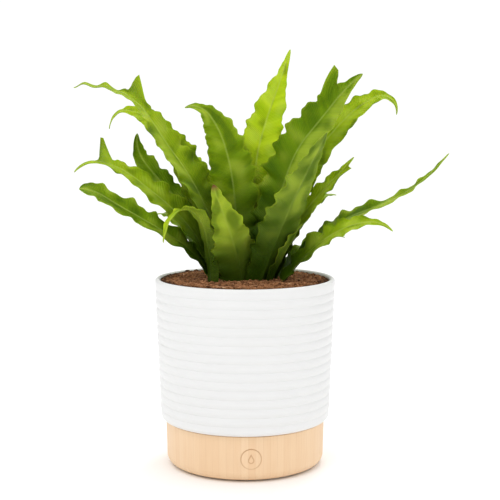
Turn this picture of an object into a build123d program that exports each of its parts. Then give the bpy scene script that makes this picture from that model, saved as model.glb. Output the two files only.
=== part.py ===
from build123d import *

import os
from collections import namedtuple
from math import cos, pi, radians, sin

os.makedirs("parts", exist_ok=True)

# Self watering planter with a potted fern.  All sizes in millimetres, +Z up, the flat
# underside of the foot pad rests on Z = 0, the round emblem faces -Y.

# ------------------------------------------------------------------ driving dimensions
PAD_R = 51.0                # cork foot pad
PAD_H = 1.48
CUP_FOOT_R = 59.3           # turned wood base cup
CUP_FOOT_Z = 1.0
CUP_EDGE_R = 7.5            # rounding of the bottom edge
CUP_LOW_R = 66.6
CUP_TOP_R = 67.4
CUP_TOP_Z = 38.4
CUP_BORE_R = 62.0
CUP_FLOOR_Z = 6.0
LEDGE_R = 64.4              # ledge that carries the tank rim
LEDGE_Z = 36.4

EMBLEM_TURN = 4.4           # degrees to the right of the front
EMBLEM_Z = 20.0
EMBLEM_R = 8.75
EMBLEM_LINE = 0.9
EMBLEM_DEPTH = 0.4

TANK_OUTER_R = 61.6         # lift-out water tank
TANK_INNER_R = 60.0
TANK_BOTTOM_Z = 6.3
TANK_FLOOR_Z = 8.0
TANK_RIM_R = 64.0
TANK_RIM_Z0 = 36.42
TANK_RIM_Z1 = 38.0

GASKET_OUT_R = 65.8
GASKET_IN_R = 63.2
GASKET_Z0 = 38.42
GASKET_Z1 = 39.8

POT_BOTTOM_Z = 38.8         # ribbed outer pot
POT_FOOT_R = 67.4
POT_CORNER_R = 4.0
POT_LEDGE_Z = 41.5          # the pot's bottom is a ledge that carries the divider plate
POT_LEDGE_R = 60.5
POT_FLOOR_Z = 43.5          # top of the divider plate
POT_TOP_Z = 158.5
POT_LIP_R = 76.0
POT_LIP_ROUND = 2.25
CREST_R_LOW = 71.9          # radius of the rib crests 44 mm up
CREST_SLOPE = 0.04
RIB_COUNT = 14
RIB_PITCH = 7.33
RIB_DEPTH = 0.9
GROOVE_TOP_Z = 149.4
POT_INNER_R = 68.0          # inside wall just above the ledge
SPIGOT_OUT_R = 59.4         # ring under the divider plate that centres it in the tank
SPIGOT_IN_R = 57.2
SPIGOT_Z = 35.0
PLATE_R = 67.4              # plastic divider plate over the water, on the pot's ledge
WICK_HOLE_R = 20.0
DRAIN_R = 4.0
DRAIN_CIRCLE_R = 35.0

LINER_Z0 = 43.52            # dark nursery pot inside the outer pot
LINER_FLOOR_Z = 45.5
LINER_LOW_R = 65.0
LINER_HIGH_R = 69.8
LINER_BEAD_Z = 151.8
LINER_BEAD_R = 71.0
LINER_TOP_Z = 155.0
LINER_WALL = 1.6
SLOT_LENGTH = 14.0
SLOT_WIDTH = 3.0
SLOT_CIRCLE_R = 37.0

CAGE_R = 17.6               # wick cage hanging in the water
CAGE_WALL = 1.4
CAGE_Z0 = 12.0
CAGE_FLANGE_R = 22.3
FLANGE_Z0 = 45.52
FLANGE_Z1 = 47.0
FELT_R = 15.8
FELT_Z0 = 13.7
FELT_Z1 = 60.0

SHAFT_Y = 48.0              # filling shaft at the back of the pot
SHAFT_LENGTH = 26.0
SHAFT_WIDTH = 16.0
SHAFT_WALL = 1.4
SHAFT_Z0 = 40.0
SHAFT_Z1 = 166.0
MOUTH_GROW = 4.0
MOUTH_H = 4.0
SHAFT_FLANGE_GROW = 6.0
GUIDE_Z0 = 158.0
GUIDE_Z1 = 160.0
GUIDE_BORE_R = 1.6

FLOAT_X = -5.0              # water level float
PUCK_R = 7.2
PUCK_Z0 = 9.0
PUCK_Z1 = 21.0
STEM_R = 1.2
TIP_R = 2.4
TIP_Z0 = 160.02
TIP_Z1 = 168.0

MIX_Z0 = 46.6               # potting mix filling the liner
MIX_TOP_Z = 155.5
MIX_GAP = 0.35
CROWN_Z = 155.55            # the fronds start here, on the potting mix
CROWN_R = 5.0
CROWN_H = 9.0

BLADE_CHANNEL = 16.0        # degrees each half of a blade rises from its midrib
BLADE_EDGE_T = 0.7
BLADE_RIB_T = 1.5
BLADE_STATIONS = 11
FOOT_SHARE = 0.38           # blade width at the foot and where the thin tip begins,
TAIL_SHARE = 0.16           # as shares of the full width

# One line per frond.  azimuth: 0 = +X, 90 = +Y (back), 270 = -Y (front), in degrees.
# root: distance of the frond's foot from the axis.  length and width of the blade.
# tail: share of the length that is a thin tip.  swing: how far the azimuth turns by the
# tip.  roll: how far the upper face turns about the midrib.  rises: climb angle of the
# midrib at even steps from foot to tip.
Frond = namedtuple("Frond", "azimuth root length width tail swing roll rises")
FRONDS = [
    Frond(170, 12, 230, 36, 0.22, 4, -26, (73, 71, 63, 53, 58, 20, -8)),
    Frond(145, 18, 214, 28, 0.15, 9, -40, (73, 69, 66, 60, 48, 42, 8, -85)),
    Frond(186, 26, 168, 28, 0.15, -2, -35, (74, 66, 49, 40, 38, 15, -52)),
    Frond(160, 29, 146, 20, 0.10, 4, -42, (75, 69, 55, 45, 48, 102)),
    Frond(197, 29, 140, 21, 0.06, 0, -40, (66, 50, 35, 31, 30, 34, 2)),
    Frond(219, 35, 112, 15, 0.10, 0, 10, (88, 84, 76, 58, 0, -60, -82)),
    Frond(258, 17, 93, 36, 0.06, -44, 45, (70, 62, 62, 70)),
    Frond(146, 7, 172, 38, 0.12, 6, -42, (88, 88, 86, 80, 70, 50, -20)),
    Frond(68, 15, 204, 34, 0.08, -40, 38, (87, 87, 86, 68, 65, 72)),
    Frond(352, 11, 198, 40, 0.08, 0, 58, (77, 76, 74, 70, 50, 52, 38)),
    Frond(314, 18, 146, 34, 0.06, 0, -20, (64, 62, 60, 56, 56)),
    Frond(16, 17, 220, 29, 0.13, 0, 45, (70, 71, 69, 62, 51, 43, 25, -100)),
    Frond(2, 24, 126, 21, 0.06, 0, 35, (70, 69, 61, 49, 46, 50)),
    Frond(353, 31, 178, 17, 0.28, 0, 25, (54, 50, 38, 20, 26, 42, 52)),
    Frond(334, 34, 118, 25, 0.10, 0, 40, (50, 48, 38, 26, 8, -44)),
    Frond(42, 24, 118, 25, 0.08, 0, 15, (64, 58, 48, 36, 18, -10)),
    Frond(66, 23, 150, 23, 0.08, 0, 0, (70, 64, 56, 48, 34, 10)),
    Frond(94, 21, 154, 25, 0.08, 0, 0, (74, 68, 60, 50, 36, 16)),
    Frond(124, 21, 152, 26, 0.08, 0, 0, (70, 66, 60, 50, 30, 5)),
    Frond(138, 30, 100, 22, 0.08, 0, -15, (56, 50, 42, 32, 14, -16)),
    Frond(32, 31, 84, 20, 0.08, 0, 10, (45, 39, 31, 22, 6, -16)),
    Frond(336, 23, 58, 17, 0.06, 0, 0, (66, 62, 58, 54)),
]

BASE = (Align.CENTER, Align.CENTER, Align.MIN)


# ---------------------------------------------------------------------- small helpers
def at(radius, z):
    """Point of a turned profile."""
    return (radius, 0, z)


def turned(*edges):
    """Solid of revolution about Z from the closed outline made by the edges."""
    return revolve(make_face(list(edges)), Axis.Z)


def disc(radius, z0, z1, x=0, y=0):
    return Pos(x, y, z0) * Cylinder(radius, z1 - z0, align=BASE)


def tube(outer_r, inner_r, z0, z1):
    return disc(outer_r, z0, z1) - disc(inner_r, z0, z1)


def obround(length, width, z0, z1):
    """Upright prism with round ends, centred on the filling shaft."""
    outline = Pos(0, SHAFT_Y, z0) * SlotOverall(length, width)
    return extrude(outline, z1 - z0)


def crest_r(z):
    """Radius over the rib crests of the outer pot at height z."""
    return CREST_R_LOW + CREST_SLOPE * (z - 44.0)


def liner_r(z):
    """Outside radius of the nursery pot wall at height z."""
    share = (z - LINER_Z0) / (LINER_BEAD_Z - LINER_Z0)
    return LINER_LOW_R + (LINER_HIGH_R - LINER_LOW_R) * share


# -------------------------------------------------------------------------- base body
def base_pad():
    return disc(PAD_R, 0, PAD_H)


def emblem_cutter():
    """Ring and water drop, standing out along -Y, then turned to its place."""
    ring = Circle(EMBLEM_R) - Circle(EMBLEM_R - EMBLEM_LINE)
    drop_r = 2.6
    tip = 5.6
    touch_x = drop_r * 0.88
    touch_y = drop_r * 0.47 - 1.2
    outline = make_face(
        [
            ThreePointArc((-touch_x, touch_y), (0, -drop_r - 1.2), (touch_x, touch_y)),
            Line((touch_x, touch_y), (0, tip - 1.2)),
            Line((0, tip - 1.2), (-touch_x, touch_y)),
        ]
    )
    inner = make_face(offset(outline, -EMBLEM_LINE).wire().edges())
    mark = ring + (outline - inner)
    plane = Plane(origin=(0, -75, EMBLEM_Z), x_dir=(1, 0, 0), z_dir=(0, -1, 0))
    return Rot(0, 0, EMBLEM_TURN) * extrude(plane * mark, -20)


def base_cup():
    corner_z = CUP_FOOT_Z + CUP_EDGE_R
    bend = CUP_EDGE_R * (1 - cos(pi / 4))
    cup = turned(
        Line(at(0, PAD_H + 0.02), at(PAD_R + 0.3, PAD_H + 0.02)),
        Line(at(PAD_R + 0.3, PAD_H + 0.02), at(PAD_R + 0.3, CUP_FOOT_Z)),
        Line(at(PAD_R + 0.3, CUP_FOOT_Z), at(CUP_FOOT_R, CUP_FOOT_Z)),
        ThreePointArc(
            at(CUP_FOOT_R, CUP_FOOT_Z),
            at(CUP_LOW_R - bend, CUP_FOOT_Z + bend),
            at(CUP_LOW_R, corner_z),
        ),
        Line(at(CUP_LOW_R, corner_z), at(CUP_TOP_R, CUP_TOP_Z - 0.5)),
        Line(at(CUP_TOP_R, CUP_TOP_Z - 0.5), at(CUP_TOP_R - 0.5, CUP_TOP_Z)),
        Line(at(CUP_TOP_R - 0.5, CUP_TOP_Z), at(LEDGE_R, CUP_TOP_Z)),
        Line(at(LEDGE_R, CUP_TOP_Z), at(LEDGE_R, LEDGE_Z)),
        Line(at(LEDGE_R, LEDGE_Z), at(CUP_BORE_R, LEDGE_Z)),
        Line(at(CUP_BORE_R, LEDGE_Z), at(CUP_BORE_R, CUP_FLOOR_Z)),
        Line(at(CUP_BORE_R, CUP_FLOOR_Z), at(0, CUP_FLOOR_Z)),
        Line(at(0, CUP_FLOOR_Z), at(0, PAD_H + 0.02)),
    )
    skin_r = CUP_LOW_R + (CUP_TOP_R - CUP_LOW_R) * 0.4
    groove = emblem_cutter() - disc(skin_r - EMBLEM_DEPTH, 0, CUP_TOP_Z)
    return cup - groove


# -------------------------------------------------------------------------- tank body
def reservoir_tank():
    tank = disc(TANK_OUTER_R, TANK_BOTTOM_Z, TANK_RIM_Z1)
    tank += disc(TANK_RIM_R, TANK_RIM_Z0, TANK_RIM_Z1)
    return tank - disc(TANK_INNER_R, TANK_FLOOR_Z, TANK_RIM_Z1 + 1)


# --------------------------------------------------------------------- outer pot body
def pot_gasket():
    return tube(GASKET_OUT_R, GASKET_IN_R, GASKET_Z0, GASKET_Z1)


def rib_edges():
    """Outline of the outer pot from its lowest groove up to the top groove."""
    edges = []
    for k in range(RIB_COUNT, 0, -1):
        low = GROOVE_TOP_Z - RIB_PITCH * k
        high = low + RIB_PITCH
        middle = (low + high) / 2
        edges.append(
            ThreePointArc(
                at(crest_r(low) - RIB_DEPTH, low),
                at(crest_r(middle), middle),
                at(crest_r(high) - RIB_DEPTH, high),
            )
        )
    return edges


def outer_pot():
    lowest = GROOVE_TOP_Z - RIB_PITCH * RIB_COUNT
    corner_z = POT_BOTTOM_Z + POT_CORNER_R
    side_r = POT_FOOT_R + POT_CORNER_R
    bend = POT_CORNER_R * (1 - cos(pi / 4))
    lip_z = POT_TOP_Z - POT_LIP_ROUND
    lip_inner_r = POT_LIP_R - 2 * POT_LIP_ROUND
    top_groove_r = crest_r(GROOVE_TOP_Z) - RIB_DEPTH
    pot = turned(
        Line(at(POT_LEDGE_R, POT_BOTTOM_Z), at(POT_FOOT_R, POT_BOTTOM_Z)),
        ThreePointArc(
            at(POT_FOOT_R, POT_BOTTOM_Z),
            at(side_r - bend, POT_BOTTOM_Z + bend),
            at(side_r, corner_z),
        ),
        Line(at(side_r, corner_z), at(crest_r(lowest) - RIB_DEPTH, lowest)),
        *rib_edges(),
        ThreePointArc(
            at(top_groove_r, GROOVE_TOP_Z),
            at(POT_LIP_R - 0.1, GROOVE_TOP_Z + 3.0),
            at(POT_LIP_R, lip_z),
        ),
        ThreePointArc(
            at(POT_LIP_R, lip_z),
            at(POT_LIP_R - POT_LIP_ROUND, POT_TOP_Z),
            at(lip_inner_r, lip_z),
        ),
        Line(at(lip_inner_r, lip_z), at(POT_INNER_R, POT_LEDGE_Z)),
        Line(at(POT_INNER_R, POT_LEDGE_Z), at(POT_LEDGE_R, POT_LEDGE_Z)),
        Line(at(POT_LEDGE_R, POT_LEDGE_Z), at(POT_LEDGE_R, POT_BOTTOM_Z)),
    )
    return pot - tube(GASKET_OUT_R + 0.2, GASKET_IN_R - 0.2, POT_BOTTOM_Z - 1, GASKET_Z1 + 0.02)


def divider_plate():
    """Plate between water and roots: centring ring below, wick, filling and drain holes."""
    plate = disc(PLATE_R, POT_LEDGE_Z + 0.02, POT_FLOOR_Z)
    plate += tube(SPIGOT_OUT_R, SPIGOT_IN_R, SPIGOT_Z, POT_LEDGE_Z + 1)
    plate -= disc(WICK_HOLE_R, POT_BOTTOM_Z - 1, POT_FLOOR_Z + 1)
    plate -= obround(SHAFT_LENGTH + 1.4, SHAFT_WIDTH + 1.4, POT_BOTTOM_Z, POT_FLOOR_Z + 1)
    for k in range(6):
        turn = radians(60 * k)
        x = DRAIN_CIRCLE_R * cos(turn)
        y = DRAIN_CIRCLE_R * sin(turn)
        plate -= disc(DRAIN_R, POT_BOTTOM_Z - 1, POT_FLOOR_Z + 1, x, y)
    return plate


# ------------------------------------------------------------------------- liner body
def grow_pot():
    bead_round = (LINER_BEAD_R - liner_r(LINER_BEAD_Z) + LINER_WALL) / 2
    bead_z = LINER_TOP_Z - bead_round
    inner_top_r = LINER_BEAD_R - 2 * bead_round
    pot = turned(
        Line(at(0, LINER_Z0), at(LINER_LOW_R - 1.5, LINER_Z0)),
        Line(at(LINER_LOW_R - 1.5, LINER_Z0), at(liner_r(LINER_Z0 + 1.5), LINER_Z0 + 1.5)),
        Line(at(liner_r(LINER_Z0 + 1.5), LINER_Z0 + 1.5), at(LINER_HIGH_R, LINER_BEAD_Z)),
        Line(at(LINER_HIGH_R, LINER_BEAD_Z), at(LINER_BEAD_R, LINER_BEAD_Z)),
        Line(at(LINER_BEAD_R, LINER_BEAD_Z), at(LINER_BEAD_R, bead_z)),
        ThreePointArc(
            at(LINER_BEAD_R, bead_z),
            at(LINER_BEAD_R - bead_round, LINER_TOP_Z),
            at(inner_top_r, bead_z),
        ),
        Line(at(inner_top_r, bead_z), at(liner_r(LINER_FLOOR_Z) - LINER_WALL, LINER_FLOOR_Z)),
        Line(at(liner_r(LINER_FLOOR_Z) - LINER_WALL, LINER_FLOOR_Z), at(0, LINER_FLOOR_Z)),
        Line(at(0, LINER_FLOOR_Z), at(0, LINER_Z0)),
    )
    pot -= disc(CAGE_R + 0.4, LINER_Z0 - 1, LINER_FLOOR_Z + 1)
    pot -= obround(SHAFT_LENGTH + 0.8, SHAFT_WIDTH + 0.8, LINER_Z0 - 1, LINER_FLOOR_Z + 1)
    for k in (0, 1, 3, 4, 5, 6, 7):
        slot = Pos(SLOT_CIRCLE_R, 0, LINER_Z0 - 1) * SlotOverall(SLOT_LENGTH, SLOT_WIDTH)
        pot -= Rot(0, 0, 45 * k) * extrude(slot, 4)
    return pot


def drain_screen():
    """Thin perforated disc on the liner floor that keeps the mix out of the slots."""
    thickness = 0.8
    z1 = LINER_FLOOR_Z + 0.02 + thickness
    screen = disc(62.4, LINER_FLOOR_Z + 0.02, z1) - disc(CAGE_FLANGE_R + 0.5, 40, 60)
    cut_length = SHAFT_LENGTH + SHAFT_FLANGE_GROW + 1
    cut_width = SHAFT_WIDTH + SHAFT_FLANGE_GROW + 1
    screen -= obround(cut_length, cut_width, 40, 60)
    for circle_r, count in ((28, 14), (36, 18), (45, 22), (55, 26)):
        for k in range(count):
            turn = 2 * pi * k / count
            x = circle_r * cos(turn)
            y = circle_r * sin(turn)
            beside_shaft = abs(x) < cut_length / 2 + 3 and y > SHAFT_Y - cut_width / 2 - 3
            if not beside_shaft:
                screen -= disc(1.6, 40, 60, x, y)
    return screen


def wick_cage():
    cage = disc(CAGE_R, CAGE_Z0, FLANGE_Z1) + disc(CAGE_FLANGE_R, FLANGE_Z0, FLANGE_Z1)
    cage -= disc(CAGE_R - CAGE_WALL, CAGE_Z0 + 1.4, FLANGE_Z1 + 1)
    slot = Pos(CAGE_R, 0, 17) * Box(6, 5, 20, align=BASE)
    for k in range(8):
        cage -= Rot(0, 0, 22.5 + 45 * k) * slot
    return cage


def wick_felt():
    return disc(FELT_R, FELT_Z0, FELT_Z1)


def filler_shaft():
    """Oval tube down to the water, with a flared mouth and a guide for the float stem."""
    inner_l = SHAFT_LENGTH - 2 * SHAFT_WALL
    inner_w = SHAFT_WIDTH - 2 * SHAFT_WALL
    mouth_z = SHAFT_Z1 - MOUTH_H
    shaft = obround(SHAFT_LENGTH, SHAFT_WIDTH, SHAFT_Z0, SHAFT_Z1)
    shaft += obround(SHAFT_LENGTH + MOUTH_GROW, SHAFT_WIDTH + MOUTH_GROW, mouth_z, SHAFT_Z1)
    shaft += obround(
        SHAFT_LENGTH + SHAFT_FLANGE_GROW, SHAFT_WIDTH + SHAFT_FLANGE_GROW, FLANGE_Z0, FLANGE_Z1
    )
    shaft -= obround(inner_l, inner_w, SHAFT_Z0 - 1, SHAFT_Z1 + 1)
    shaft -= obround(inner_l + 3, inner_w + 3, mouth_z + 1.4, SHAFT_Z1 + 1)
    bridge = Pos(FLOAT_X, SHAFT_Y, GUIDE_Z0) * Box(6, inner_w + 1, GUIDE_Z1 - GUIDE_Z0, align=BASE)
    shaft += bridge
    return shaft - disc(GUIDE_BORE_R, GUIDE_Z0 - 1, GUIDE_Z1 + 1, FLOAT_X, SHAFT_Y)


def potting_mix():
    low_r = liner_r(MIX_Z0) - LINER_WALL - MIX_GAP
    side_z = MIX_TOP_Z - 2.0
    high_r = liner_r(side_z) - LINER_WALL - MIX_GAP
    mix = turned(
        Line(at(0, MIX_Z0), at(low_r, MIX_Z0)),
        Line(at(low_r, MIX_Z0), at(high_r, side_z)),
        Line(at(high_r, side_z), at(high_r - 6, MIX_TOP_Z)),
        Line(at(high_r - 6, MIX_TOP_Z), at(0, MIX_TOP_Z)),
        Line(at(0, MIX_TOP_Z), at(0, MIX_Z0)),
    )
    mix -= disc(FELT_R + 0.3, MIX_Z0 - 1, FELT_Z1 + 0.3)
    mix -= disc(CAGE_FLANGE_R + 0.4, MIX_Z0 - 1, FLANGE_Z1 + 0.3)
    mix -= obround(SHAFT_LENGTH + 0.6, SHAFT_WIDTH + 0.6, MIX_Z0 - 1, MIX_TOP_Z + 1)
    flange_l = SHAFT_LENGTH + SHAFT_FLANGE_GROW + 0.8
    flange_w = SHAFT_WIDTH + SHAFT_FLANGE_GROW + 0.8
    return mix - obround(flange_l, flange_w, MIX_Z0 - 1, FLANGE_Z1 + 0.3)


# ------------------------------------------------------------------------------- fern
def fern_crown():
    stump = Cone(CROWN_R, CROWN_R * 0.7, CROWN_H, align=BASE)
    return Pos(0, 0, CROWN_Z) * stump


def rise_at(frond, t):
    """Climb angle of the midrib a share t of the way along, in degrees."""
    steps = len(frond.rises) - 1
    k = min(int(t * steps), steps - 1)
    part = t * steps - k
    return frond.rises[k] + (frond.rises[k + 1] - frond.rises[k]) * part


def blade_share(frond, t):
    """Width of a blade along its length, as a share of its full width."""
    body = 1.0 - frond.tail
    if t > body:
        return TAIL_SHARE * (1.0 - 0.8 * (t - body) / frond.tail)
    place = t / body
    grow = FOOT_SHARE + (1.0 - FOOT_SHARE) * sin(min(place / 0.5, 1.0) * pi / 2)
    fade = 1.0 - (1.0 - TAIL_SHARE) * max(0.0, (place - 0.5) / 0.5) ** 2
    return grow * fade


def midrib(frond, steps=50):
    """Stations along a frond: point, side direction and upward direction."""
    turn = radians(frond.azimuth)
    point = Vector(frond.root * cos(turn), frond.root * sin(turn), CROWN_Z)
    stations = []
    for i in range(steps + 1):
        t = i / steps
        rise = radians(rise_at(frond, t))
        turn = radians(frond.azimuth + frond.swing * t)
        along = Vector(cos(rise) * cos(turn), cos(rise) * sin(turn), sin(rise))
        side = Vector(-sin(turn), cos(turn), 0)
        above = along.cross(side)
        roll = radians(frond.roll * min(1.0, t / 0.4))
        rolled_side = side * cos(roll) + above * sin(roll)
        rolled_above = above * cos(roll) - side * sin(roll)
        if i == 0:
            rolled_above = Vector(-cos(turn), -sin(turn), 0)
        stations.append((t, point, rolled_side, rolled_above))
        point = point + along * (frond.length / steps)
    return stations


def blade_section(frond, t, point, side, above):
    """Thin V across the blade: two halves rising from the midrib."""
    half = frond.width / 2 * blade_share(frond, t)
    reach = half * cos(radians(BLADE_CHANNEL))
    lift = half * sin(radians(BLADE_CHANNEL))
    rib_t = BLADE_RIB_T * (1 - 0.5 * t)
    left = point + side * reach + above * lift
    right = point - side * reach + above * lift
    corners = [
        left,
        point,
        right,
        right - above * BLADE_EDGE_T,
        point - above * rib_t,
        left - above * BLADE_EDGE_T,
    ]
    return make_face(Polyline(*corners, close=True).edges())


def frond_blade(frond):
    stations = midrib(frond)
    stride = (len(stations) - 1) / (BLADE_STATIONS - 1)
    sections = []
    for k in range(BLADE_STATIONS):
        t, point, side, above = stations[round(k * stride)]
        sections.append(blade_section(frond, t, point, side, above))
    return loft(sections, ruled=True)


# ------------------------------------------------------------------------- float body
def float_puck():
    return disc(PUCK_R, PUCK_Z0, PUCK_Z1, FLOAT_X, SHAFT_Y)


def float_stem():
    return disc(STEM_R, PUCK_Z1, TIP_Z0, FLOAT_X, SHAFT_Y)


def float_tip():
    body = disc(TIP_R, TIP_Z0, TIP_Z1 - TIP_R, FLOAT_X, SHAFT_Y)
    return body + Pos(FLOAT_X, SHAFT_Y, TIP_Z1 - TIP_R) * Sphere(TIP_R)


# ----------------------------------------------------------------------------- export
pieces = {
    "base_pad": base_pad(),
    "base_cup": base_cup(),
    "reservoir_tank": reservoir_tank(),
    "pot_gasket": pot_gasket(),
    "outer_pot": outer_pot(),
    "divider_plate": divider_plate(),
    "grow_pot": grow_pot(),
    "drain_screen": drain_screen(),
    "wick_cage": wick_cage(),
    "wick_felt": wick_felt(),
    "filler_shaft": filler_shaft(),
    "potting_mix": potting_mix(),
    "fern_crown": fern_crown(),
    "float_puck": float_puck(),
    "float_stem": float_stem(),
    "float_tip": float_tip(),
}
for number, frond in enumerate(FRONDS, start=1):
    pieces[f"frond_{number:02d}"] = frond_blade(frond)

for name, shape in pieces.items():
    export_step(shape, f"parts/{name}.step")
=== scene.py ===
import math
import random
from collections import namedtuple

import bpy
import numpy as np
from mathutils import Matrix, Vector, noise


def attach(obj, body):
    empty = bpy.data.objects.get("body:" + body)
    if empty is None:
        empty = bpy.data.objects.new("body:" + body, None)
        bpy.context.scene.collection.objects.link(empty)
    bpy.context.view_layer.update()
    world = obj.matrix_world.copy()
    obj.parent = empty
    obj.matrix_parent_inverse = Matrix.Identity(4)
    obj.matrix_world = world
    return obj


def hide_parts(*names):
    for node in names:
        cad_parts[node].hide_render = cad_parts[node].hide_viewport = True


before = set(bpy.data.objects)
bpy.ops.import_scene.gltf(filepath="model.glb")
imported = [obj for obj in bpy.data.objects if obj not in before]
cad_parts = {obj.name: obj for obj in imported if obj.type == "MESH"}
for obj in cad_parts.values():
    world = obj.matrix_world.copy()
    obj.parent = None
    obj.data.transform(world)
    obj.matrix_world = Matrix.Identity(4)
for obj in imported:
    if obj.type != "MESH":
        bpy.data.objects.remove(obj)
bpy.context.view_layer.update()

MM = 0.001


# ============================================================ mesh and node helpers
def mesh_object(name, verts_mm, faces, smooth=True):
    """Mesh object from points in millimetres."""
    mesh = bpy.data.meshes.new(name)
    mesh.from_pydata([tuple(p) for p in np.asarray(verts_mm) * MM], [], faces)
    mesh.update()
    if smooth:
        mesh.polygons.foreach_set("use_smooth", [True] * len(mesh.polygons))
    piece = bpy.data.objects.new(name, mesh)
    bpy.context.scene.collection.objects.link(piece)
    return piece


def add_attribute(piece, name, values):
    """One float per vertex, read by the materials."""
    layer = piece.data.attributes.new(name, "FLOAT", "POINT")
    layer.data.foreach_set("value", np.asarray(values, dtype=float).ravel())


def grid_faces(rows, cols, start=0, wrap=False):
    """Quads of a rows x cols grid of points, closed sideways when wrap is true."""
    faces = []
    span = cols if wrap else cols - 1
    for r in range(rows - 1):
        for c in range(span):
            d = (c + 1) % cols
            a = start + r * cols
            faces.append((a + c, a + d, a + cols + d, a + cols + c))
    return faces


def lathe(name, profile, segments=256):
    """Closed ring-shaped solid: the closed profile of (radius, z) turned about Z."""
    turns = np.arange(segments) * 2 * math.pi / segments
    verts = []
    for radius, z in profile:
        verts.extend((radius * math.cos(a), radius * math.sin(a), z) for a in turns)
    rows = len(profile)
    faces = grid_faces(rows, segments, wrap=True)
    last = (rows - 1) * segments
    for c in range(segments):
        d = (c + 1) % segments
        faces.append((last + c, last + d, d, c))
    ring = mesh_object(name, verts, faces)
    ring.data.set_sharp_from_angle(angle=math.radians(40))
    return ring


def arc(centre, radius, start, end, steps):
    """Points of (radius, z) on an arc, angles in degrees."""
    angles = np.radians(np.linspace(start, end, steps))
    return [(centre[0] + radius * math.cos(a), centre[1] + radius * math.sin(a)) for a in angles]


def material(name):
    mat = bpy.data.materials.new(name)
    mat.use_nodes = True
    return mat, mat.node_tree, mat.node_tree.nodes["Principled BSDF"]


def put(tree, value, socket):
    if isinstance(value, bpy.types.NodeSocket):
        tree.links.new(value, socket)
    else:
        socket.default_value = value


def add(tree, kind, inputs=None, **settings):
    """Adds a shader node; inputs maps socket names or numbers to values or sockets."""
    made = tree.nodes.new(kind)
    for key, value in settings.items():
        setattr(made, key, value)
    for key, value in (inputs or {}).items():
        put(tree, value, made.inputs[key])
    return made


def maths(tree, operation, *values):
    made = add(tree, "ShaderNodeMath", dict(enumerate(values)), operation=operation)
    return made.outputs[0]


def mixed(tree, share, first, second):
    """Colour between first and second."""
    made = add(tree, "ShaderNodeMix", data_type="RGBA")
    put(tree, share, made.inputs[0])
    put(tree, first, made.inputs[6])
    put(tree, second, made.inputs[7])
    return made.outputs[2]


def stepped(tree, value, low, high, out_low=0.0, out_high=1.0):
    """Smooth step of a value from low to high."""
    made = add(
        tree,
        "ShaderNodeMapRange",
        {"Value": value, 1: low, 2: high, 3: out_low, 4: out_high},
        interpolation_type="SMOOTHSTEP",
    )
    return made.outputs[0]


def noisy(tree, scale, detail=3.0, vector=None, rough=0.5):
    made = add(tree, "ShaderNodeTexNoise", {"Scale": scale, "Detail": detail, "Roughness": rough})
    if vector is not None:
        put(tree, vector, made.inputs["Vector"])
    return made.outputs["Fac"]


def object_coords(tree):
    return add(tree, "ShaderNodeTexCoord").outputs["Object"]


def axis_distance(tree, parts):
    """Distance from the Z axis, from separated coordinates."""
    squared = maths(tree, "MULTIPLY", parts.outputs[0], parts.outputs[0])
    total = maths(tree, "MULTIPLY_ADD", parts.outputs[1], parts.outputs[1], squared)
    return maths(tree, "SQRT", total)


def stretched(tree, vector, scale):
    made = add(tree, "ShaderNodeMapping", {"Vector": vector, "Scale": scale})
    return made.outputs[0]


def bumped(tree, bsdf, height, distance, strength=1.0):
    made = add(
        tree, "ShaderNodeBump", {"Height": height, "Distance": distance, "Strength": strength}
    )
    tree.links.new(made.outputs[0], bsdf.inputs["Normal"])


def attribute(tree, name):
    return add(tree, "ShaderNodeAttribute", attribute_name=name).outputs["Fac"]


def paint(piece, mat):
    piece.data.materials.clear()
    piece.data.materials.append(mat)


# ======================================================================= materials
def ceramic_material():
    """White matt-glazed ceramic with faint mottling."""
    mat, tree, bsdf = material("white_ceramic")
    coords = object_coords(tree)
    mottle = noisy(tree, 60.0, 4.0, coords)
    colour = mixed(tree, mottle, (0.790, 0.790, 0.785, 1), (0.815, 0.815, 0.810, 1))
    put(tree, colour, bsdf.inputs["Base Color"])
    put(tree, stepped(tree, mottle, 0.3, 0.7, 0.38, 0.48), bsdf.inputs["Roughness"])
    bumped(tree, bsdf, noisy(tree, 900.0, 2.0, coords), 0.00005, 0.4)
    return mat


CUP_SKIN_R = 0.06637        # the wood's outside wall: radius in metres at Z = 0
CUP_SLOPE = 0.0272          # and its growth with height
STRIPS_PER_RADIAN = 11.14   # bamboo strips about 6 mm wide


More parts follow.
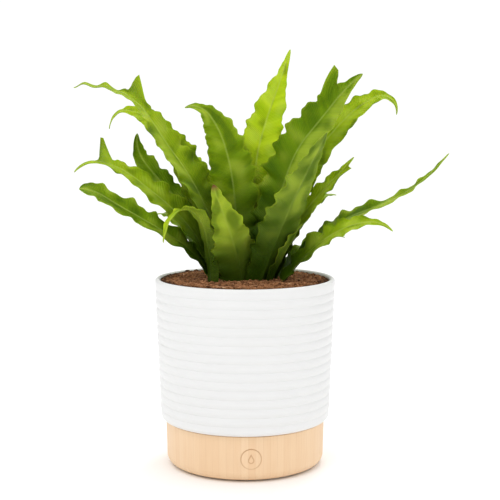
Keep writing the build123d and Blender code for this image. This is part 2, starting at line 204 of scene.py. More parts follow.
def bamboo_material():
    """Laminated bamboo: upright strips, fine fibres, burnt-in emblem."""
    mat, tree, bsdf = material("bamboo")
    coords = object_coords(tree)
    parts = add(tree, "ShaderNodeSeparateXYZ", {0: coords})
    turn = maths(tree, "ARCTAN2", parts.outputs[1], parts.outputs[0])
    around = maths(tree, "MULTIPLY", turn, STRIPS_PER_RADIAN)
    strip = maths(tree, "FLOOR", around)
    shade = add(tree, "ShaderNodeTexWhiteNoise", {"W": strip}, noise_dimensions="1D").outputs[0]
    edge = maths(tree, "PINGPONG", around, 0.5)
    seam = stepped(tree, edge, 0.0, 0.045, 1.0, 0.0)
    fibres = noisy(tree, 1.0, 6.0, stretched(tree, coords, (900.0, 900.0, 28.0)), 0.6)
    broad = noisy(tree, 1.0, 3.0, stretched(tree, coords, (160.0, 160.0, 12.0)))
    tint = mixed(tree, shade, (0.850, 0.590, 0.360, 1), (0.885, 0.640, 0.410, 1))
    tint = mixed(tree, stepped(tree, fibres, 0.35, 0.75, 0.0, 0.30), tint, (0.78, 0.50, 0.27, 1))
    tint = mixed(tree, stepped(tree, broad, 0.4, 0.8, 0.0, 0.25), tint, (0.90, 0.68, 0.46, 1))
    tint = mixed(tree, maths(tree, "MULTIPLY", seam, 0.22), tint, (0.62, 0.38, 0.19, 1))
    skin = maths(tree, "MULTIPLY_ADD", parts.outputs[2], CUP_SLOPE, CUP_SKIN_R)
    depth = maths(tree, "SUBTRACT", skin, axis_distance(tree, parts))
    sunk = stepped(tree, depth, 0.00008, 0.00025)
    upright = stepped(tree, parts.outputs[2], 0.0100, 0.0105)
    burnt = maths(tree, "MULTIPLY", sunk, upright)
    tint = mixed(tree, maths(tree, "MULTIPLY", burnt, 0.36), tint, (0.46, 0.22, 0.08, 1))
    put(tree, tint, bsdf.inputs["Base Color"])
    put(tree, stepped(tree, fibres, 0.3, 0.8, 0.42, 0.58), bsdf.inputs["Roughness"])
    bumped(tree, bsdf, maths(tree, "SUBTRACT", fibres, seam), 0.00006, 0.5)
    return mat


def plastic_material(name, colour, roughness, grain=0.00004, scale=700.0):
    """Moulded plastic with a fine texture."""
    mat, tree, bsdf = material(name)
    coords = object_coords(tree)
    cloud = noisy(tree, 25.0, 3.0, coords)
    darker = tuple(c * 0.9 for c in colour[:3]) + (1,)
    put(tree, mixed(tree, cloud, darker, colour), bsdf.inputs["Base Color"])
    bsdf.inputs["Roughness"].default_value = roughness
    bumped(tree, bsdf, noisy(tree, scale, 2.0, coords), grain, 0.5)
    return mat


def cork_material():
    """Pressed cork granules with dark specks."""
    mat, tree, bsdf = material("cork")
    coords = object_coords(tree)
    cells = add(tree, "ShaderNodeTexVoronoi", {"Vector": coords, "Scale": 420.0})
    colour = mixed(tree, cells.outputs["Color"], (0.50, 0.33, 0.19, 1), (0.68, 0.49, 0.31, 1))
    specks = stepped(tree, noisy(tree, 260.0, 4.0, coords), 0.58, 0.66, 0.0, 0.8)
    put(tree, mixed(tree, specks, colour, (0.20, 0.11, 0.06, 1)), bsdf.inputs["Base Color"])
    bsdf.inputs["Roughness"].default_value = 0.85
    bumped(tree, bsdf, cells.outputs["Distance"], 0.0003, 0.6)
    return mat


def felt_material():
    """Pale wool felt."""
    mat, tree, bsdf = material("felt")
    coords = object_coords(tree)
    fibres = noisy(tree, 1400.0, 5.0, coords, 0.7)
    put(
        tree,
        mixed(tree, fibres, (0.62, 0.60, 0.54, 1), (0.88, 0.86, 0.80, 1)),
        bsdf.inputs["Base Color"],
    )
    bsdf.inputs["Roughness"].default_value = 0.95
    bsdf.inputs["Sheen Weight"].default_value = 0.4
    bumped(tree, bsdf, fibres, 0.0004, 0.7)
    return mat


def soil_material():
    """Coarse brown mix; each crumb and fibre has its own tone, with painted shade near the wall.
    """
    mat, tree, bsdf = material("potting_mix")
    coords = object_coords(tree)
    tone = attribute(tree, "tone")
    ramp = add(tree, "ShaderNodeValToRGB", {0: tone})
    stops = [
        (0.0, (0.080, 0.032, 0.013, 1)),
        (0.35, (0.245, 0.108, 0.045, 1)),
        (0.65, (0.440, 0.200, 0.090, 1)),
        (0.85, (0.620, 0.295, 0.140, 1)),
        (1.0, (0.640, 0.380, 0.220, 1)),
    ]
    elements = ramp.color_ramp.elements
    while len(elements) < len(stops):
        elements.new(0.5)
    for element, (place, colour) in zip(elements, stops):
        element.position = place
        element.color = colour
    grit = noisy(tree, 900.0, 5.0, coords, 0.7)
    dark = stepped(tree, grit, 0.40, 0.75, 0.0, 0.25)
    colour = mixed(tree, dark, ramp.outputs[0], (0.035, 0.014, 0.006, 1))
    parts = add(tree, "ShaderNodeSeparateXYZ", {0: coords})
    # painted shade: the mix darkens towards the pot wall, standing in for the wall's shadow on the
    # soil
    painted_wall_shade = stepped(tree, axis_distance(tree, parts), 0.062, 0.071, 0.0, 0.75)
    colour = mixed(tree, painted_wall_shade, colour, (0.030, 0.012, 0.006, 1))
    put(tree, colour, bsdf.inputs["Base Color"])
    bsdf.inputs["Roughness"].default_value = 0.9
    bsdf.inputs["Specular IOR Level"].default_value = 0.15
    bumped(tree, bsdf, grit, 0.0004, 0.8)
    return mat


def leaf_material():
    """Fern blade: paler underside, pale midrib, fine veins, painted highlight along the margin,
    painted shade at the foot.

    Reads the blade's own values: across and along in mm, reach 0 at the midrib to 1 at the
    margin, under 1 on the lower face, youth, painted_light (patches of painted highlight and
    painted shade), foot (painted shade), dry.
    """
    mat, tree, bsdf = material("fern_leaf")
    across = attribute(tree, "across")
    along = attribute(tree, "along")
    reach = attribute(tree, "reach")
    under = attribute(tree, "under")
    youth = attribute(tree, "youth")
    side = maths(tree, "ABSOLUTE", across)
    slant = maths(tree, "SUBTRACT", along, maths(tree, "MULTIPLY", side, 0.55))
    vector = add(tree, "ShaderNodeCombineXYZ", {0: slant, 1: maths(tree, "MULTIPLY", side, 0.12)})
    bands = noisy(tree, 0.075, 3.0, vector.outputs[0], 0.6)
    veins = maths(tree, "SINE", maths(tree, "MULTIPLY", slant, 4.2))
    deep = mixed(tree, youth, (0.062, 0.140, 0.001, 1), (0.345, 0.500, 0.004, 1))
    fresh = mixed(tree, youth, (0.130, 0.240, 0.002, 1), (0.520, 0.660, 0.015, 1))
    colour = mixed(tree, stepped(tree, bands, 0.30, 0.72), deep, fresh)
    lower = mixed(tree, 0.50, colour, (0.210, 0.280, 0.045, 1))
    colour = mixed(tree, under, colour, lower)
    colour = mixed(tree, stepped(tree, veins, 0.2, 1.0, 0.0, 0.10), colour, (0.36, 0.50, 0.02, 1))
    # painted highlight: the blade lightens towards its margin, standing in for light on the thin
    # edge
    margin = stepped(tree, reach, 0.88, 1.0, 0.0, 0.40)
    colour = mixed(tree, margin, colour, (0.46, 0.60, 0.03, 1))
    # painted light: patches of painted shade darken the blade and patches of painted highlight
    # lighten it
    painted_light = attribute(tree, "painted_light")
    painted_shade_patches = stepped(tree, painted_light, -0.35, -0.02, 0.55, 0.0)
    colour = mixed(tree, painted_shade_patches, colour, (0.040, 0.100, 0.001, 1))
    colour = mixed(tree, stepped(tree, painted_light, 0.0, 0.5, 0.0, 0.45), colour, (0.50, 0.62, 0.06, 1))
    strong = stepped(tree, under, 0.0, 1.0, 0.30, 0.14)
    rib = maths(tree, "MULTIPLY", stepped(tree, side, 0.3, 1.3, 1.0, 0.0), strong)
    colour = mixed(tree, rib, colour, (0.48, 0.60, 0.12, 1))
    # painted shade: the foot of each blade darkens towards the crown, where the fronds shade one
    # another
    foot = stepped(tree, attribute(tree, "foot"), 0.0, 0.75, 0.0, 0.90)
    colour = mixed(tree, foot, colour, (0.018, 0.048, 0.001, 1))
    brown = stepped(tree, attribute(tree, "dry"), 0.35, 0.75)
    colour = mixed(tree, brown, colour, (0.20, 0.10, 0.035, 1))
    put(tree, colour, bsdf.inputs["Base Color"])
    put(tree, stepped(tree, bands, 0.2, 0.8, 0.34, 0.46), bsdf.inputs["Roughness"])
    bsdf.inputs["Subsurface Weight"].default_value = 0.25
    bsdf.inputs["Subsurface Radius"].default_value = (0.5, 1.0, 0.05)
    bsdf.inputs["Subsurface Scale"].default_value = 0.0008
    bsdf.inputs["Specular IOR Level"].default_value = 0.05
    height = maths(tree, "ADD", maths(tree, "MULTIPLY", veins, 0.25), bands)
    bumped(tree, bsdf, height, 0.0007, 0.6)
    return mat


def crown_material():
    """Brown scales and hairs of the fern's heart."""
    mat, tree, bsdf = material("fern_crown")
    coords = object_coords(tree)
    hairs = noisy(tree, 1.0, 5.0, stretched(tree, coords, (900.0, 900.0, 120.0)), 0.7)
    put(
        tree,
        mixed(tree, hairs, (0.050, 0.028, 0.010, 1), (0.260, 0.190, 0.070, 1)),
        bsdf.inputs["Base Color"],
    )
    bsdf.inputs["Roughness"].default_value = 0.9
    bumped(tree, bsdf, hairs, 0.0006, 0.8)
    return mat


# ============================================================================ pot
CREST_LOW_Z = 44.0
CREST_R_LOW = 71.9          # radius of the rib crests at CREST_LOW_Z
CREST_SLOPE = 0.04
GROOVE_TOP_Z = 149.4
RIB_COUNT = 14
RIB_PITCH = 7.33
RIB_DEPTH = 1.0
LIP_R = 76.0
LIP_ROUND = 2.25
LIP_Z = 156.25              # centre of the lip's rounding


def crest_r(z):
    return CREST_R_LOW + CREST_SLOPE * (z - CREST_LOW_Z)


def rib_profile():
    """Wall from the lowest groove to the top one: soft ribs with rounded grooves."""
    points = []
    steps = 14
    for k in range(RIB_COUNT, 0, -1):
        low = GROOVE_TOP_Z - RIB_PITCH * k
        for i in range(steps):
            share = i / steps
            z = low + RIB_PITCH * share
            swell = math.sin(math.pi * share)
            depth = RIB_DEPTH * (1 - swell**0.85)
            points.append((crest_r(z) - depth, z))
    return points


def pot_profile():
    """Ring-shaped wall: ledge and gasket groove below, ribs outside, rounded lip."""
    top_groove = (crest_r(GROOVE_TOP_Z) - RIB_DEPTH, GROOVE_TOP_Z)
    outline = [(60.5, 39.1), (60.8, 38.8), (63.0, 38.8), (63.0, 39.82), (66.0, 39.82)]
    outline += [(66.0, 38.8), (67.4, 38.8)]
    outline += arc((67.4, 42.8), 4.0, -80, 0, 9)
    outline += [(71.35, 44.6), (71.2, 46.2)]
    outline += rib_profile()
    outline += [top_groove, (75.42, 149.9), (75.66, 150.6), (75.84, 151.6), (75.95, 153.0)]
    outline += [(LIP_R, 154.8)]
    outline += arc((LIP_R - LIP_ROUND, LIP_Z), LIP_ROUND, 0, 180, 15)
    outline += [(71.0, 140.0), (70.1, 110.4), (69.2, 80.8), (68.3, 51.3), (68.0, 41.5)]
    outline += [(60.8, 41.5), (60.5, 41.2)]
    return outline


def build_pot(mat):
    pot = lathe("planter_pot", pot_profile(), 288)
    paint(pot, mat)
    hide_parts("outer_pot")
    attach(pot, "pot")
    return pot


def oval_ring(x, y, length, width, steps=48):
    """Points round an oval with straight sides, long way along X."""
    points = []
    straight = (length - width) / 2
    for i in range(steps):
        a = 2 * math.pi * (i + 0.5) / steps
        shift = straight if math.cos(a) > 0 else -straight
        points.append((x + shift + width / 2 * math.cos(a), y + width / 2 * math.sin(a)))
    return points


def prism(name, ring, z0, z1):
    count = len(ring)
    verts = [(px, py, z0) for px, py in ring] + [(px, py, z1) for px, py in ring]
    faces = [tuple(reversed(range(count))), tuple(range(count, 2 * count))]
    for c in range(count):
        d = (c + 1) % count
        faces.append((c, d, count + d, count + c))
    return mesh_object(name, verts, faces, smooth=False)


def cut_through(piece, x, y, length, width, z0, z1):
    """Cuts an upright oval hole."""
    cutter = prism("cutter", oval_ring(x, y, length, width), z0, z1)
    change = piece.modifiers.new("hole", "BOOLEAN")
    change.operation = "DIFFERENCE"
    change.solver = "EXACT"
    change.object = cutter
    bpy.context.view_layer.update()
    graph = bpy.context.evaluated_depsgraph_get()
    cut = bpy.data.meshes.new_from_object(piece.evaluated_get(graph))
    piece.modifiers.remove(change)
    old = piece.data
    piece.data = cut
    bpy.data.meshes.remove(old)
    bpy.data.objects.remove(cutter)


# =========================================================================== fern
Frond = namedtuple("Frond", "azimuth root length width tail swing roll rises")
FRONDS = [
    Frond(170, 12, 230, 36, 0.22, 4, -26, (73, 71, 63, 53, 58, 20, -8)),
    Frond(145, 18, 214, 28, 0.15, 9, -40, (73, 69, 66, 60, 48, 42, 8, -85)),
    Frond(186, 26, 168, 28, 0.15, -2, -35, (74, 66, 49, 40, 38, 15, -52)),
    Frond(160, 29, 146, 20, 0.10, 4, -42, (75, 69, 55, 45, 48, 102)),
    Frond(197, 29, 140, 21, 0.06, 0, -40, (66, 50, 35, 31, 30, 34, 2)),
    Frond(219, 35, 112, 15, 0.10, 0, 10, (88, 84, 76, 58, 0, -60, -82)),
    Frond(258, 17, 93, 36, 0.06, -44, 45, (70, 62, 62, 70)),
    Frond(146, 7, 172, 38, 0.12, 6, -42, (88, 88, 86, 80, 70, 50, -20)),
    Frond(68, 15, 204, 34, 0.08, -40, 38, (87, 87, 86, 68, 65, 72)),
    Frond(352, 11, 198, 40, 0.08, 0, 58, (77, 76, 74, 70, 50, 52, 38)),
    Frond(314, 18, 146, 34, 0.06, 0, -20, (64, 62, 60, 56, 56)),
    Frond(16, 17, 220, 29, 0.13, 0, 45, (70, 71, 69, 62, 51, 43, 25, -100)),
    Frond(2, 24, 126, 21, 0.06, 0, 35, (70, 69, 61, 49, 46, 50)),
    Frond(353, 31, 178, 17, 0.28, 0, 25, (54, 50, 38, 20, 26, 42, 52)),
    Frond(334, 34, 118, 25, 0.10, 0, 40, (50, 48, 38, 26, 8, -44)),
    Frond(42, 24, 118, 25, 0.08, 0, 15, (64, 58, 48, 36, 18, -10)),
    Frond(66, 23, 150, 23, 0.08, 0, 0, (70, 64, 56, 48, 34, 10)),
    Frond(94, 21, 154, 25, 0.08, 0, 0, (74, 68, 60, 50, 36, 16)),
    Frond(124, 21, 152, 26, 0.08, 0, 0, (70, 66, 60, 50, 30, 5)),
    Frond(138, 30, 100, 22, 0.08, 0, -15, (56, 50, 42, 32, 14, -16)),
    Frond(32, 31, 84, 20, 0.08, 0, 10, (45, 39, 31, 22, 6, -16)),
    Frond(336, 23, 58, 17, 0.06, 0, 0, (66, 62, 58, 54)),
]
CROWN_Z = 155.55


def rise_at(frond, t):
    steps = len(frond.rises) - 1
    k = min(int(t * steps), steps - 1)
    part = t * steps - k
    return frond.rises[k] + (frond.rises[k + 1] - frond.rises[k]) * part


def blade_share(frond, look, t):
    """Width of a blade along its length, as a share of its full width."""
    body = 1.0 - frond.tail
    if t > body:
        return look.tip * max(0.0, 1.0 - (t - body) / frond.tail) ** 0.6
    place = t / body
    rising = min(place / look.peak, 1.0)
    falling = max(0.0, (place - look.peak) / (1.0 - look.peak))
    grow = look.foot + (1.0 - look.foot) * math.sin(rising * math.pi / 2)
    fade = 1.0 - (1.0 - look.tip) * falling**look.blunt
    return grow * fade


def midrib(frond, steps):
    """Stations along a frond in mm: share, point, side direction, upward direction."""
    turn = math.radians(frond.azimuth)
    point = Vector((frond.root * math.cos(turn), frond.root * math.sin(turn), CROWN_Z))
    stations = []
    for i in range(steps + 1):
        t = i / steps
        rise = math.radians(rise_at(frond, t))
        turn = math.radians(frond.azimuth + frond.swing * t)
        along = Vector(
            (math.cos(rise) * math.cos(turn), math.cos(rise) * math.sin(turn), math.sin(rise))
        )
        flat_side = Vector((-math.sin(turn), math.cos(turn), 0))
        above = along.cross(flat_side)
        roll = math.radians(frond.roll * (0.7 + 0.3 * min(1.0, t / 0.4)))
        side = flat_side * math.cos(roll) + above * math.sin(roll)
        up = above * math.cos(roll) - flat_side * math.sin(roll)
        stations.append((t, point.copy(), side, up))
        point = point + along * (frond.length / steps)
    return stations


# How each frond looks beyond its line.  wave, pitch: height and length of the ruffles in
# mm.  youth: 0 dark to 1 yellow-green.  dry: browning of the tip.  lobes: pointed lobes of
# the margin as (share along, side, reach in mm, sweep towards the tip in mm).  foot, tip:
# width shares at both ends.  blunt: how late the blade narrows.  peak: where it is widest.
# curl: height of the curls of a thin tip in mm.  pale: painted highlight on the left and right
# half.
Look = namedtuple(
    "Look",
    "wave pitch youth dry lobes foot tip blunt peak curl pale",
    defaults=(2.2, 18.0, 0.20, 0.0, (), 0.50, 0.20, 2.0, 0.5, 0.0, (0.0, 0.0)),
)
LOOKS = {
    1: Look(2.2, 19, 0.45, lobes=((0.77, -1, 22, 12),), foot=0.60, tip=0.28, curl=1.5),
    2: Look(2.0, 18, 0.62, foot=0.60, tip=0.34),
    3: Look(2.2, 20, 0.48, lobes=((0.83, -1, 29, 11),), foot=0.70),
    4: Look(1.6, 18, 0.10, foot=0.60, tip=0.5, blunt=6.0, peak=0.6),
    5: Look(2.0, 21, 0.13, foot=0.75, tip=0.75, blunt=6.0),
    6: Look(1.2, 18, 0.75, foot=0.80, tip=0.35, blunt=3.0),
    7: Look(2.0, 15, 0.92, dry=0.8, foot=0.80, blunt=1.2, peak=0.3, pale=(0.1, 0.1)),
    8: Look(2.6, 16, 0.22, tip=0.28, blunt=2.6),
    9: Look(2.4, 19, 1.00, pale=(0.30, 0.05)),
    10: Look(
        2.9, 18, 0.06, lobes=((0.86, 1, 10, 20),), foot=0.45, tip=0.28, blunt=3.2, pale=(0.0, 0.40)
    ),
    11: Look(2.4, 18, 0.10, foot=0.75, blunt=1.6, peak=0.35),
    12: Look(2.4, 18, 0.60, foot=0.50, tip=0.40),
    13: Look(1.8, 16, 0.55, lobes=((0.90, -1, 5, 4),), foot=0.70),
    14: Look(2.0, 24, 0.18, foot=0.70, tip=0.50, pale=(0.10, 0.15)),
    15: Look(2.2, 18, 0.50, foot=0.85, tip=0.16, peak=0.35, pale=(0.0, 0.25)),
    18: Look(2.2, 18, 0.50),
    19: Look(2.2, 18, 0.55),
    22: Look(1.4, 16, 0.05, foot=0.80),
}

# Places across half a blade, 0 at the midrib.  Thicknesses of the blade in mm.
ACROSS = (0.0, 0.05, 0.12, 0.24, 0.38, 0.52, 0.66, 0.79, 0.90, 1.0)
LEAF_EDGE_T = 0.4
LEAF_RIB_T = 1.3
RIB_RISE = 0.25             # height of the midrib over the upper face
CHANNEL = math.radians(16.0)    # rise of each half of a blade from its midrib
FULLNESS = 1.04             # blade width over the width in the table
LOBE_SPAN = 0.034           # half of a lobe's foot, as a share of the frond's length
CURL_PITCH = 2.9            # mm along a thin tip for each radian of its curls
SHADE_LENGTH = 110.0        # painted shade darkens the foot of a blade over at most this length


def frond_points(frond, look, seed):
    """Grids of the upper and lower face of one blade, with the values the leaf paint reads."""
    rng = random.Random(seed)
    phase = {-1: rng.uniform(0, 6.28), 1: rng.uniform(0, 6.28)}
    drift = rng.uniform(0, 50)
    rows = max(40, int(frond.length / 1.4))
    lateral = [-a for a in reversed(ACROSS[1:])] + list(ACROSS)
    upper, lower, values, painted_lights = [], [], [], []
    for t, point, side, up in midrib(frond, rows):
        along = t * frond.length
        swell = min(1.0, t / 0.18) * min(1.0, (1.0 - t) / 0.12) if t < 1 else 0.0
        share = blade_share(frond, look, t)
        tail = max(0.0, t - 1.0 + frond.tail)
        curls = min(1.0, 20.0 * tail) * math.sin(tail * frond.length / CURL_PITCH)
        point = point + up * look.curl * curls
        for u in lateral:
            hand = 1 if u > 0 else -1
            reach = abs(u)
            wobble = noise.noise(Vector((along / 17.0, hand * 3.0 + drift, 0.0)))
            half = frond.width / 2 * FULLNESS * share * (1 + 0.16 * wobble * swell)
            sweep = 0.0
            for place, lobe_side, extra, onward in look.lobes:
                if lobe_side == hand:
                    point_share = max(0.0, 1.0 - abs(t - place) / LOBE_SPAN) ** 1.4
                    half += extra * point_share * reach
                    sweep += onward * point_share * reach**2
            turn = 2 * math.pi * (along - 0.35 * reach * half) / look.pitch
            turn += phase[hand] + 3.0 * noise.noise(Vector((along / 34.0, drift, hand * 2.0)))
            gust = abs(noise.noise(Vector((along / 20.0, drift + 9.0, hand * 5.0))))
            crimp = (0.5 + 1.7 * gust) * math.sin(turn)
            fine = math.sin(2.1 * turn + drift) * reach**3
            half *= 1 + swell * reach * (0.05 * math.sin(turn + 1.3) + 0.035 * fine)
            ruffle = look.wave * swell * share**0.7 * (reach**1.7 * crimp + 0.3 * fine)
            tilt = CHANNEL * (1 - 0.25 * t)
            out = hand * half * reach * math.cos(tilt) + 0.25 * ruffle * hand * reach
            height = half * reach * math.sin(tilt) + ruffle
            top = point + side * out + up * height + up.cross(side) * -sweep
            ridge = math.exp(-((half * reach / 1.1) ** 2))
            thick = LEAF_EDGE_T + (LEAF_RIB_T * (1 - 0.6 * t) - LEAF_EDGE_T) * ridge
            upper.append(top + up * RIB_RISE * ridge)
            lower.append(top - up * thick)
            values.append((u * half, along, reach))
            # painted light per point: noise patches of painted highlight and painted shade, plus
            # the painted highlight of each half
            patch = noise.noise(Vector((along / 15.0, drift + 31.0, reach * 1.3 + hand * 4.0)))
            painted_lights.append(look.pale[0 if hand > 0 else 1] * reach**0.5 + 0.75 * patch)
    return rows + 1, len(lateral), upper, lower, values, painted_lights


def build_frond(number, frond, look, mat):
    rows, cols, upper, lower, values, painted_lights = frond_points(frond, look, 100 + number)
    count = rows * cols
    faces = grid_faces(rows, cols)
    faces += [tuple(count + v for v in reversed(face)) for face in grid_faces(rows, cols)]
    rim = [r * cols for r in range(rows)]
    rim += [(rows - 1) * cols + c for c in range(1, cols)]
    rim += [r * cols + cols - 1 for r in range(rows - 2, -1, -1)]
    rim += [c for c in range(cols - 2, 0, -1)]
    for i, a in enumerate(rim):
        b = rim[(i + 1) % len(rim)]
        faces.append((b, a, count + a, count + b))
    blade = mesh_object(f"fern_frond_{number:02d}", upper + lower, faces)
    both = values + values
    dry = [look.dry * max(0.0, (v[1] / frond.length - 0.86) / 0.14) for v in both]
    add_attribute(blade, "across", [v[0] for v in both])
    add_attribute(blade, "along", [v[1] for v in both])
    add_attribute(blade, "reach", [v[2] for v in both])
    add_attribute(blade, "under", [0.0] * count + [1.0] * count)
    # painted shade at the foot of the blade, read by the leaf paint
    shade_length = min(SHADE_LENGTH, 0.62 * frond.length)
    foot = [max(0.0, 1.0 - v[1] / shade_length) for v in both]
    youth = [look.youth * (0.40 + 0.85 * v[1] / frond.length) for v in both]
    add_attribute(blade, "youth", youth)
    add_attribute(blade, "foot", foot)
    add_attribute(blade, "painted_light", painted_lights + painted_lights)
    add_attribute(blade, "dry", dry)
    paint(blade, mat)
    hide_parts(f"frond_{number:02d}")
    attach(blade, "liner")
    return blade


# =================================================================== potting mix
SOIL_R = 67.6               # mix inside the liner
SPILL_R = 71.1              # mix lying on the liner's rim
SOIL_Z = 156.9
SPILL_Z = 155.04            # just over the liner's rim
PLUG_FLOOR_Z = 140.0
SHAFT_Y = 48.0
SHAFT_CUT = (26.8, 16.8)    # hole for the filling shaft, length and width


def in_shaft(x, y, margin):
    """True inside the filling shaft's outline grown by margin."""
    straight = 5.0
    dx = max(0.0, abs(x) - straight)
    return math.hypot(dx, y - SHAFT_Y) < 8.0 + margin


def soil_height(x, y):
    """Lumpy top of the potting mix: higher at the wall, but lower at the back right."""
    spot = Vector((x / 14.0, y / 14.0, 3.0))
    lumps = 0.8 * noise.noise(spot) + 0.45 * noise.noise(spot * 3.1)
    edge = max(0.0, (math.hypot(x, y) - 61.0) / 10.0)
    fall = -0.5 + 1.9 * max(0.0, 0.85 * x + 0.5 * y) / 70.0
    return max(SOIL_Z + lumps - fall * edge**2, 155.12)


def soil_plug():
    """Closed plug of mix: lumpy top spilling over the liner's rim, flat underside."""
    rings, turns = 48, 192
    verts, faces = [], []
    for r in range(rings + 1):
        radius = SPILL_R * (0.02 + 0.98 * r / rings)
        for c in range(turns):
            a = 2 * math.pi * c / turns
            x, y = radius * math.cos(a), radius * math.sin(a)
            verts.append((x, y, soil_height(x, y)))
    flange = [(SPILL_R, SPILL_Z), (67.9, SPILL_Z), (SOIL_R, 154.0)]
    for radius, z in flange + [(SOIL_R, PLUG_FLOOR_Z), (1.4, PLUG_FLOOR_Z)]:
        for c in range(turns):
            a = 2 * math.pi * c / turns
            verts.append((radius * math.cos(a), radius * math.sin(a), z))
    faces += grid_faces(rings + 6, turns, wrap=True)
    faces.append(tuple(reversed(range(turns))))
    last = (rings + 5) * turns
    faces.append(tuple(last + c for c in range(turns)))
    plug = mesh_object("soil_plug", verts, faces)
    cut_through(plug, 0.0, SHAFT_Y, *SHAFT_CUT, 130.0, 170.0)
    return plug


def crumb_shape(rng):
    """Rough little lump: a twelve-cornered ball with uneven corners."""
    g = (1 + 5**0.5) / 2
    corners = [(-1, g, 0), (1, g, 0), (-1, -g, 0), (1, -g, 0), (0, -1, g), (0, 1, g)]
    corners += [(0, -1, -g), (0, 1, -g), (g, 0, -1), (g, 0, 1), (-g, 0, -1), (-g, 0, 1)]
    return [Vector(c) / 1.9 * rng.uniform(0.65, 1.15) for c in corners]


CRUMB_FACES = [
    (0, 11, 5), (0, 5, 1), (0, 1, 7), (0, 7, 10), (0, 10, 11), (1, 5, 9), (5, 11, 4),
    (11, 10, 2), (10, 7, 6), (7, 1, 8), (3, 9, 4), (3, 4, 2), (3, 2, 6), (3, 6, 8),
    (3, 8, 9), (4, 9, 5), (2, 4, 11), (6, 2, 10), (8, 6, 7), (9, 8, 1),
]


def random_spot(rng, limit):
    while True:
        x, y = rng.uniform(-limit, limit), rng.uniform(-limit, limit)
        if math.hypot(x, y) < limit and not in_shaft(x, y, 2.2):
            return x, y


def soil_bits(crumbs=4200, fibres=520):
    """Loose crumbs of bark and fibres of coir lying on the mix."""
    rng = random.Random(5)
    verts, faces, tones = [], [], []
    for _ in range(crumbs):
        x, y = random_spot(rng, SPILL_R - 1.2)
        size = rng.choice((0.5, 0.6, 0.7, 0.8, 0.9, 1.1, 1.3, 1.7))
        flat = rng.uniform(0.5, 1.0)
        longer = rng.uniform(1.0, 1.7)
        spin = rng.uniform(0, math.pi)
        tone = min(1.0, max(0.0, rng.gauss(0.42, 0.22)))
        base = soil_height(x, y) + size * 0.15
        start = len(verts)
        for corner in crumb_shape(rng):
            lx, ly, lz = corner.x * size * longer, corner.y * size, corner.z * size * flat
            wx = lx * math.cos(spin) - ly * math.sin(spin)
            wy = lx * math.sin(spin) + ly * math.cos(spin)
            verts.append((x + wx, y + wy, base + lz))
            tones.append(tone)
        faces += [tuple(start + v for v in f) for f in CRUMB_FACES]
    for _ in range(fibres):
        x, y = random_spot(rng, SOIL_R - 6.0)
        heading = rng.uniform(0, 2 * math.pi)
        bend = rng.gauss(0, 0.22)
        length = rng.uniform(3.0, 11.0)
        thick = rng.uniform(0.14, 0.30)
        tone = rng.uniform(0.6, 0.95)
        steps, sides = 7, 5
        start = len(verts)
        placed = []
        for i in range(steps):
            bow = 1.2 * math.sin(math.pi * i / (steps - 1)) * rng.uniform(0.4, 1)
            placed.append((x, y, soil_height(x, y) + 0.5 + bow, heading))
            x += math.cos(heading) * length / steps
            y += math.sin(heading) * length / steps
            heading += bend
        if any(in_shaft(p[0], p[1], 1.5) or math.hypot(p[0], p[1]) > SPILL_R - 1 for p in placed):
            continue
        for px, py, pz, turn in placed:
            for k in range(sides):
                a = 2 * math.pi * k / sides
                off = math.cos(a) * thick
                rise = math.sin(a) * thick
                verts.append((px - math.sin(turn) * off, py + math.cos(turn) * off, pz + rise))
                tones.append(tone)
        faces += grid_faces(steps, sides, start, wrap=True)
        faces.append(tuple(reversed(range(start, start + sides))))
        last = start + (steps - 1) * sides
        faces.append(tuple(range(last, last + sides)))
    bits = mesh_object("soil_bits", verts, faces)
    add_attribute(bits, "tone", tones)
    return bits


def build_soil(mat):
    plug = soil_plug()
    rng = random.Random(8)
    add_attribute(plug, "tone", [rng.uniform(0.10, 0.45) for _ in plug.data.vertices])
    bits = soil_bits()
    for piece in (plug, bits):
        paint(piece, mat)
        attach(piece, "liner")
    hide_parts("potting_mix")


# ========================================================================== build
build_pot(ceramic_material())
leaf = leaf_material()
for index, entry in enumerate(FRONDS, start=1):
    build_frond(index, entry, LOOKS.get(index, Look()), leaf)
build_soil(soil_material())

node_paint = {
    "base_pad": cork_material(),
    "base_cup": bamboo_material(),
    "divider_plate": plastic_material("plate_plastic", (0.78, 0.78, 0.76, 1), 0.45),
    "reservoir_tank": plastic_material("tank_plastic", (0.72, 0.75, 0.75, 1), 0.35),
    # dark seal between pot and base; its dark tone is partly painted shadow, the thin shadow line
    # under the pot
    "pot_gasket": plastic_material("silicone", (0.16, 0.15, 0.14, 1), 0.6),
    "grow_pot": plastic_material("liner_plastic", (0.022, 0.020, 0.018, 1), 0.5),
    "drain_screen": plastic_material("screen_plastic", (0.04, 0.04, 0.04, 1), 0.55),
    "wick_cage": plastic_material("cage_plastic", (0.60, 0.62, 0.62, 1), 0.4),
    "wick_felt": felt_material(),
    "filler_shaft": plastic_material("shaft_plastic", (0.80, 0.80, 0.78, 1), 0.4),
    "float_puck": plastic_material("float_foam", (0.86, 0.86, 0.82, 1), 0.85, 0.0003, 500.0),
    "float_stem": plastic_material("float_stem", (0.84, 0.84, 0.84, 1), 0.25),
    "float_tip": plastic_material("float_tip", (0.70, 0.035, 0.015, 1), 0.25),
    "fern_crown": crown_material(),
}
for node, mat in node_paint.items():
    paint(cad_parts[node], mat)


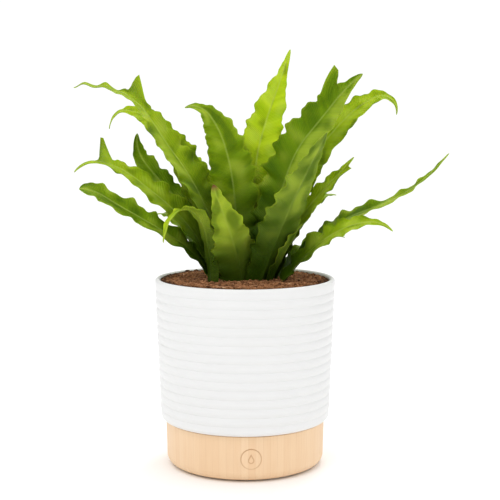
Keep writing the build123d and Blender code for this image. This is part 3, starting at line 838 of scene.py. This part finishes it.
# ================================================================ floor and studio
def build_floor():
    """Plain white floor, twelve metres across."""
    mat, _, bsdf = material("studio_floor")
    bsdf.inputs["Base Color"].default_value = (0.97, 0.97, 0.97, 1)
    bsdf.inputs["Roughness"].default_value = 0.9
    half = 6000.0
    corners = [(-half, -half, 0), (half, -half, 0), (half, half, 0), (-half, half, 0)]
    floor = mesh_object("floor", corners, [(0, 1, 2, 3)])
    paint(floor, mat)


def area_light(name, place, target, size, watts):
    data = bpy.data.lights.new(name, "AREA")
    data.energy = watts
    data.size = size
    lamp = bpy.data.objects.new(name, data)
    bpy.context.scene.collection.objects.link(lamp)
    lamp.location = place
    lamp.rotation_euler = (Vector(target) - Vector(place)).to_track_quat("-Z", "Y").to_euler()


def build_studio():
    """White backdrop; the light itself is stronger from above than from the sides."""
    world = bpy.data.worlds.new("studio")
    world.use_nodes = True
    tree = world.node_tree
    direction = add(tree, "ShaderNodeTexCoord").outputs["Generated"]
    parts = add(tree, "ShaderNodeSeparateXYZ", {0: direction})
    sky = stepped(tree, parts.outputs[2], -0.1, 0.9, 0.59, 1.25)
    seen = add(tree, "ShaderNodeLightPath").outputs["Is Camera Ray"]
    level = add(tree, "ShaderNodeMix", {0: seen, 2: sky, 3: 1.05}, data_type="FLOAT")
    background = tree.nodes["Background"]
    background.inputs["Color"].default_value = (1, 1, 1, 1)
    put(tree, level.outputs[0], background.inputs["Strength"])
    bpy.context.scene.world = world
    area_light("key", (-0.5, -1.0, 1.7), (0, 0, 0.15), 0.6, 4.0)
    area_light("back", (0.4, 0.9, 1.4), (0, 0, 0.25), 0.5, 5.0)


def build_camera():
    data = bpy.data.cameras.new("camera")
    data.sensor_fit = "HORIZONTAL"
    data.sensor_width = 36.0
    data.lens = 82.19
    camera = bpy.data.objects.new("camera", data)
    bpy.context.scene.collection.objects.link(camera)
    camera.location = (0.0042, -0.9589, 0.28514)
    camera.rotation_euler = (math.radians(90 - 6.154), 0, 0)
    bpy.context.scene.camera = camera


build_floor()
build_studio()
build_camera()
bpy.context.scene.view_settings.view_transform = "Standard"
